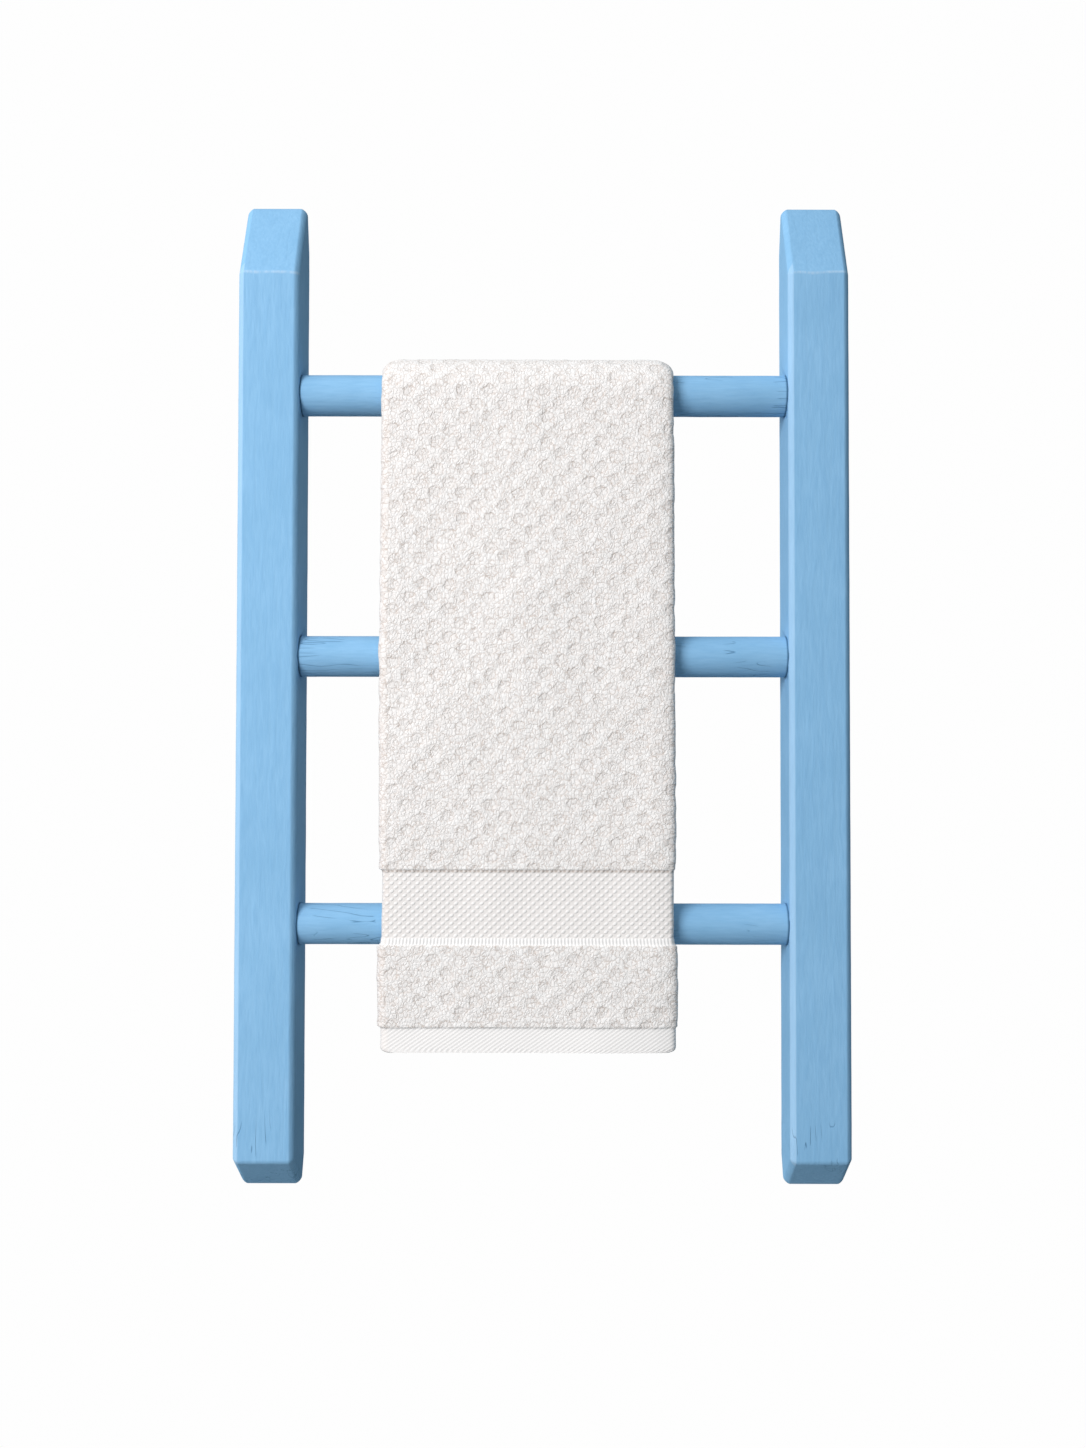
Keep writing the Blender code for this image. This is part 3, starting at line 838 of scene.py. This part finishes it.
def cloth_points(columns, rows, side):
    """Places of the face side (side 1) or the inner side (side -1) of the cloth, one for each row and column."""
    v, end = ROWS[rows, None], FROM_END[rows, None]
    left, right = edges_at(end, v)
    span_low = left + LEFT_TURN + CLOTH / 2
    span_high = right - RIGHT_TURN - CLOTH / 2
    seen = 1 - np.clip(NORMAL_D[columns] / 0.5, 0, 1)
    half = CLOTH / 2 + (relief(CLOTH_X[columns], v, end) * seen if side > 0 else 0.0)
    x = span_low + (span_high - span_low) * SHARE[columns] + OFFSET[columns] + side * half * NORMAL_X[columns]
    depth = DEPTH[columns] + side * half * NORMAL_D[columns]
    free = np.clip(1 - depth / STACK, 0, 1.2)
    edge = np.minimum(x - left, right - x)
    near_left, near_right = [np.clip(1 - gap / EDGE_ROUND_WIDTH, 0, 1.2) ** 2 for gap in (x - left, right - x)]
    rounded = LEFT_ROUND * near_left + RIGHT_ROUND * near_right
    over = np.sin(np.clip((v - FRONT_HANG) / BEND, 0, 1) * math.pi) ** 2
    droop = DROOP * np.clip(1 - edge / DROOP_WIDTH, 0, 1.2) ** 2 * over
    billow = BILLOW * smooth_noise(x / (38 * MM), v / (55 * MM), 5)
    billow = billow + 0.4 * BILLOW * smooth_noise(x / (17 * MM), v / (19 * MM), 6)
    moved = free * (rounded + droop + OVER_SETTLE * over + billow * (1 - 0.7 * over))
    return hang(TOWEL_X + x, depth + moved, v)


# %% [markdown]
# The face side needs many points and the inner side needs few, because nobody sees it. Both are grids, the inner
# one on every eighth column and fourth row, and long polygons along the selvedges and hems join their borders.
# The face side also carries a UV map, which holds each point's real place on the cloth in millimetres.

# %% The cloth as one closed mesh
def grid_faces(ids):
    """Quads between the neighbouring points of a grid of point numbers."""
    a, b, c, d = ids[:-1, :-1], ids[:-1, 1:], ids[1:, 1:], ids[1:, :-1]
    return np.stack([a, b, c, d], axis=-1).reshape(-1, 4).tolist()


def thin_out(count, step):
    """Every step-th number below count, and the last one."""
    return np.array(sorted({*range(0, count, step), count - 1}))


def build_towel():
    """The whole folded towel as one closed mesh, with real places on the cloth as its UV map."""
    all_rows, all_columns = np.arange(len(ROWS)), np.arange(len(SHARE))
    back_rows = thin_out(len(ROWS), 4)
    flat = thin_out(len(SHARE), 8)
    turning = np.flatnonzero((np.abs(NORMAL_X) > 0.01))
    back_columns = np.array(sorted({*flat, *turning}))
    face = cloth_points(all_columns, all_rows, 1)
    inner = cloth_points(back_columns, back_rows, -1)
    face_ids = np.arange(face.shape[0] * face.shape[1]).reshape(face.shape[:2])
    inner_ids = face_ids.size + np.arange(inner.shape[0] * inner.shape[1]).reshape(inner.shape[:2])
    faces = grid_faces(face_ids) + grid_faces(inner_ids[::-1])

    def join(face_line, inner_line, stops, forward):
        """Polygons that close the border between a line of face points and a line of inner points."""
        for k, (start, stop) in enumerate(zip(stops, stops[1:])):
            loop = [*face_line[start : stop + 1], inner_line[k + 1], inner_line[k]]
            faces.append([int(i) for i in (loop if forward else loop[::-1])])

    join(face_ids[0], inner_ids[0], back_columns, False)
    join(face_ids[-1], inner_ids[-1], back_columns, True)
    join(face_ids[:, 0], inner_ids[:, 0], back_rows, True)
    join(face_ids[:, -1], inner_ids[:, -1], back_rows, False)

    mesh = bpy.data.meshes.new("folded_hand_towel")
    mesh.from_pydata([*face.reshape(-1, 3).tolist(), *inner.reshape(-1, 3).tolist()], [], faces)
    across = np.concatenate([np.tile(CLOTH_X, len(ROWS)), np.tile(CLOTH_X[back_columns], len(back_rows))])
    along = np.concatenate([np.repeat(FROM_END, len(SHARE)), np.repeat(FROM_END[back_rows], len(back_columns))])
    places = mesh.uv_layers.new(name="cloth_millimetres")
    corners = np.empty(len(mesh.loops), dtype=np.int32)
    mesh.loops.foreach_get("vertex_index", corners)
    places.data.foreach_set("uv", (np.stack([across, along], axis=-1)[corners] / MM).ravel())
    towel = bpy.data.objects.new("folded_hand_towel", mesh)
    bpy.context.scene.collection.objects.link(towel)
    select_only(towel)
    bpy.ops.object.mode_set(mode="EDIT")
    bpy.ops.mesh.select_all(action="SELECT")
    bpy.ops.mesh.normals_make_consistent(inside=False)
    bpy.ops.object.mode_set(mode="OBJECT")
    bpy.ops.object.shade_smooth_by_angle(angle=math.radians(60))
    return towel


towel = build_towel()
print(towel.name, sum(len(p.vertices) - 2 for p in towel.data.polygons), "triangles")

# %% [markdown]
# White cotton terry. The pile scatters light in every direction, so it is almost pure diffuse, with a soft
# sheen at grazing angles from the fine ends of the loops. The recipe reads the towel's own map, in millimetres,
# so that the weave turns with every fold. Each pile dimple gets a little warm painted shade: crisply on its rim,
# and faintly over its floor. The loops show as packed ends, 1.8 mm across and 2.5 mm up, which is a little
# coarser than real ones so that they can be seen. The band is a lattice of slanting knots, and the hem is a steep
# twill with a line of stitches, its lines 1.6 mm apart and coarser than real ones for the same reason. Painted
# shade also darkens the gaps between loops and between knots, the twill's grooves, and the cloth near each fold.

# %% Terry towelling: measures
COTTON, SHADED_COTTON = colour("#FBF9F8"), colour("#D6CBC4")
# Noises, in patches to a millimetre of cloth
DIMPLE_WANDER, LOOP_WANDER, GAP_PATCHES, LOOP_YARN, BAND_THREAD = 0.45, 0.55, 0.3, 1.3, 2.4
LOOPS = 0.56
LOOP_SHAPE = (1.0, 0.72, 1.0)
LOOP_BEND = (2.6, 2.6, 0.0)
DIMPLE_BEND = (0.3, 0.3, 0.0)
# Sizes in the weave, in millimetres of cloth
KNOT_ACROSS, KNOT_UP = 4.26, 3.95
KNOT_LENGTH, KNOT_WIDTH = 1.3, 0.9
KNOT_LEAN = (0.85, 0.53)
DOT_PITCH = KNOT_ACROSS / 2
TWILL_ACROSS, TWILL_UP = 2.8, 1.95
STITCH_PITCH = 2.6
RIB_PITCH = 1.7
# Painted shade near each fold: where it starts and where it is full, across the cloth, and how dark it gets
FOLD_SHADE = ((-68.0, -71.5, 0.3), (68.5, 71.5, 0.12))
CIRCLE = 2 * math.pi


# %% Terry towelling: patterns
def inside(node, value, low, high):
    """1 between two heights on the cloth, with a little over half a millimetre of softness."""
    rise = node("MapRange", value, low - 0.3, low + 0.3, **SMOOTH)
    return node("Math MULTIPLY", rise, node("MapRange", value, high - 0.3, high + 0.3, 1.0, 0.0, **SMOOTH))


def wander(node, place, patches, most, start):
    """The start, pushed by up to half of most each way, by a noise with this many patches to a millimetre."""
    noise = node("TexNoise", {"Vector": place, "Scale": patches, "Detail": 2.0}, noise_dimensions="2D")
    push = node("VectorMath SUBTRACT", noise.outputs["Color"], (0.5, 0.5, 0.5))
    return node("VectorMath MULTIPLY_ADD", push, most, start)


def knots(node, x, v, shift):
    """One set of the band's slanting knots, moved on by this share of its lattice."""
    cell_x = node("Math FRACT", node("Math ADD", node("Math DIVIDE", x, KNOT_ACROSS), shift))
    cell_v = node("Math FRACT", node("Math ADD", node("Math DIVIDE", v, KNOT_UP), shift))
    u = node("Math MULTIPLY", node("Math SUBTRACT", cell_x, 0.5), KNOT_ACROSS)
    w = node("Math MULTIPLY", node("Math SUBTRACT", cell_v, 0.5), KNOT_UP)
    along, across = KNOT_LEAN
    long_way = node("Math ADD", node("Math MULTIPLY", u, along), node("Math MULTIPLY", w, across))
    short_way = node("Math SUBTRACT", node("Math MULTIPLY", w, along), node("Math MULTIPLY", u, across))
    long_way, short_way = node("Math DIVIDE", long_way, KNOT_LENGTH), node("Math DIVIDE", short_way, KNOT_WIDTH)
    distance = node("VectorMath LENGTH", node("CombineXYZ", long_way, short_way))
    return node("MapRange", distance, 0.4, 1.1, 1.0, 0.0, **SMOOTH)


def sine_lines(node, value, pitch):
    """A sine wave that repeats at this pitch."""
    return node("Math SINE", node("Math MULTIPLY", value, CIRCLE / pitch))


# %% Terry towelling: the finish
def terry_cloth():
    """White cotton terry with a dobby band and a twill hem."""
    material, tree, shader, node = new_material("white_cotton_terry")
    place = node("UVMap", uv_map="cloth_millimetres")
    parts = node("SeparateXYZ", place)
    x, v = parts.outputs["X"], parts.outputs["Y"]
    in_hem = inside(node, v, -5.0, HEM_TOP / MM)
    in_ribs = inside(node, v, LOW_PILE_TOP / MM, RIBS_TOP / MM)
    in_band = inside(node, v, RIBS_TOP / MM, BAND_TOP / MM)
    in_pile = node("Math SUBTRACT", 1.0, node("Math ADD", in_hem, node("Math ADD", in_ribs, in_band)))

    # Dimples: a lattice of cells turned by 45 degrees, so each cell's middle is one dimple
    a, b = node("Math DIVIDE", x, DIMPLE_ACROSS / MM), node("Math DIVIDE", v, DIMPLE_UP / MM)
    lattice = node("CombineXYZ", node("Math ADD", a, b), node("Math SUBTRACT", a, b))
    moved = wander(node, place, DIMPLE_WANDER, DIMPLE_BEND, lattice)
    sizes = {"Vector": moved, "Scale": 1.0, "Randomness": DIMPLE_JITTER}
    cells = node("TexVoronoi", sizes, voronoi_dimensions="2D", feature="F1")
    own = node("SeparateXYZ", cells.outputs["Color"]).outputs["X"]
    sunk = node("MapRange", cells, 0.26, 0.36, 1.0, 0.0, **SMOOTH)
    sunk = node("Math MULTIPLY", sunk, node("MapRange", own, 0.0, 0.8, 0.35, 1.0, **SMOOTH))
    rim = node("MapRange", cells, 0.22, 0.31, **SMOOTH)
    rim = node("Math MULTIPLY", rim, node("MapRange", cells, 0.31, 0.4, 1.0, 0.0, **SMOOTH))

    # Loops: close-packed ends of yarn loops, bent out of line, with thin gaps between some of them that get
    # painted shade
    ends = node("VectorMath MULTIPLY", wander(node, place, LOOP_WANDER, LOOP_BEND, place), LOOP_SHAPE)
    packed = {"Vector": ends, "Scale": LOOPS}
    edge = node("TexVoronoi", packed, voronoi_dimensions="2D", feature="DISTANCE_TO_EDGE")
    loop = node("TexVoronoi", packed, voronoi_dimensions="2D")
    tone = node("SeparateXYZ", loop.outputs["Color"]).outputs["X"]
    patchy = node("TexNoise", {"Vector": place, "Scale": GAP_PATCHES, "Detail": 1.0}, noise_dimensions="2D")
    slit = node("MapRange", edge, 0.02, 0.13, 1.0, 0.0, **SMOOTH)
    slit = node("Math MULTIPLY", slit, node("MapRange", patchy, 0.35, 0.6, 0.25, 1.0, **SMOOTH))
    yarn = node("TexNoise", {"Vector": ends, "Scale": LOOP_YARN, "Detail": 1.0}, noise_dimensions="2D")
    dome = node("Math MULTIPLY_ADD", yarn, 0.6, node("MapRange", edge, 0.0, 0.32, **SMOOTH))

    # Band: two sets of slanting knots, one in the gaps of the other, under a dotted line of shadow
    knot = node("Math MAXIMUM", knots(node, x, v, 0.0), knots(node, x, v, 0.5))
    thread = node("TexNoise", {"Vector": place, "Scale": BAND_THREAD, "Detail": 1.0}, noise_dimensions="2D")
    dots = node("Math MULTIPLY_ADD", sine_lines(node, x, DOT_PITCH), 0.35, 0.65)
    shadow_line = node("Math MULTIPLY", inside(node, v, BAND_TOP / MM - 1.1, BAND_TOP / MM - 0.1), dots)

    # Hem: twill lines that rise to the right, and a row of stitches. Ribs: fine upright ticks
    slant = node("Math SUBTRACT", node("Math DIVIDE", v, TWILL_UP), node("Math DIVIDE", x, TWILL_ACROSS))
    twill = sine_lines(node, slant, 1.0)
    stitch = node("Math MULTIPLY", inside(node, v, 0.9, 1.9), sine_lines(node, x, STITCH_PITCH))
    tick = sine_lines(node, x, RIB_PITCH)

    pile_height = node("Math MULTIPLY_ADD", tone, 0.25, node("Math MULTIPLY", dome, 0.5))
    pile_height = node("Math MULTIPLY_ADD", sunk, -0.5, pile_height)
    band_height = node("Math MULTIPLY_ADD", knot, 0.8, node("Math MULTIPLY", thread, 0.2))
    hem_height = node("Math MULTIPLY_ADD", twill, 0.13, node("Math MULTIPLY", stitch, 0.15))
    height = node("Math MULTIPLY", in_pile, pile_height)
    height = node("Math MULTIPLY_ADD", in_band, band_height, height)
    height = node("Math MULTIPLY_ADD", in_hem, hem_height, height)
    height = node("Math MULTIPLY_ADD", in_ribs, node("Math MULTIPLY", tick, 0.3), height)
    bump = node("Bump", {"Height": height, "Distance": 0.6 * MM, "Strength": 0.62})

    # Colour: painted shade, warmest on the rim of a dimple and in the gaps between loops and between knots, so
    # the tops are brightest; each loop also has a random tone of its own
    dimple_shade = node("Math MULTIPLY_ADD", rim, 0.3, node("Math MULTIPLY", sunk, 0.1))
    loop_gap_shade_and_tone = node("Math MULTIPLY_ADD", tone, 0.15, node("Math MULTIPLY", slit, 0.72))
    shade = node("Math MULTIPLY", in_pile, node("Math ADD", dimple_shade, loop_gap_shade_and_tone))
    knot_gap_shade = node("Math MULTIPLY", node("Math SUBTRACT", 1.0, knot), 0.3)
    shade = node("Math MULTIPLY_ADD", in_band, knot_gap_shade, shade)
    # Painted shade in the grooves of the hem's twill
    shade = node("Math MULTIPLY_ADD", in_hem, node("MapRange", twill, 0.2, -0.9, 0.0, 0.14, **SMOOTH), shade)
    shade = node("Math ADD", shade, shadow_line)
    # Painted shade near each fold, growing towards the fold's edge
    for start, stop, most in FOLD_SHADE:
        shade = node("Math ADD", shade, node("MapRange", x, start, stop, 0.0, most, **SMOOTH))
    cotton = node("Mix", node("Clamp", shade), COTTON, SHADED_COTTON, **COLOURS)
    feed(tree, shader, {"Base Color": cotton, "Normal": bump, "Roughness": 0.95, "Specular IOR Level": 0.2})
    feed(tree, shader, {"Sheen Weight": 0.25, "Sheen Roughness": 0.5})
    return material


give(towel, terry_cloth())
print(towel.data.materials[0].name, "made of", len(towel.data.materials[0].node_tree.nodes), "nodes")
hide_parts("towel")
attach(towel, "towel")
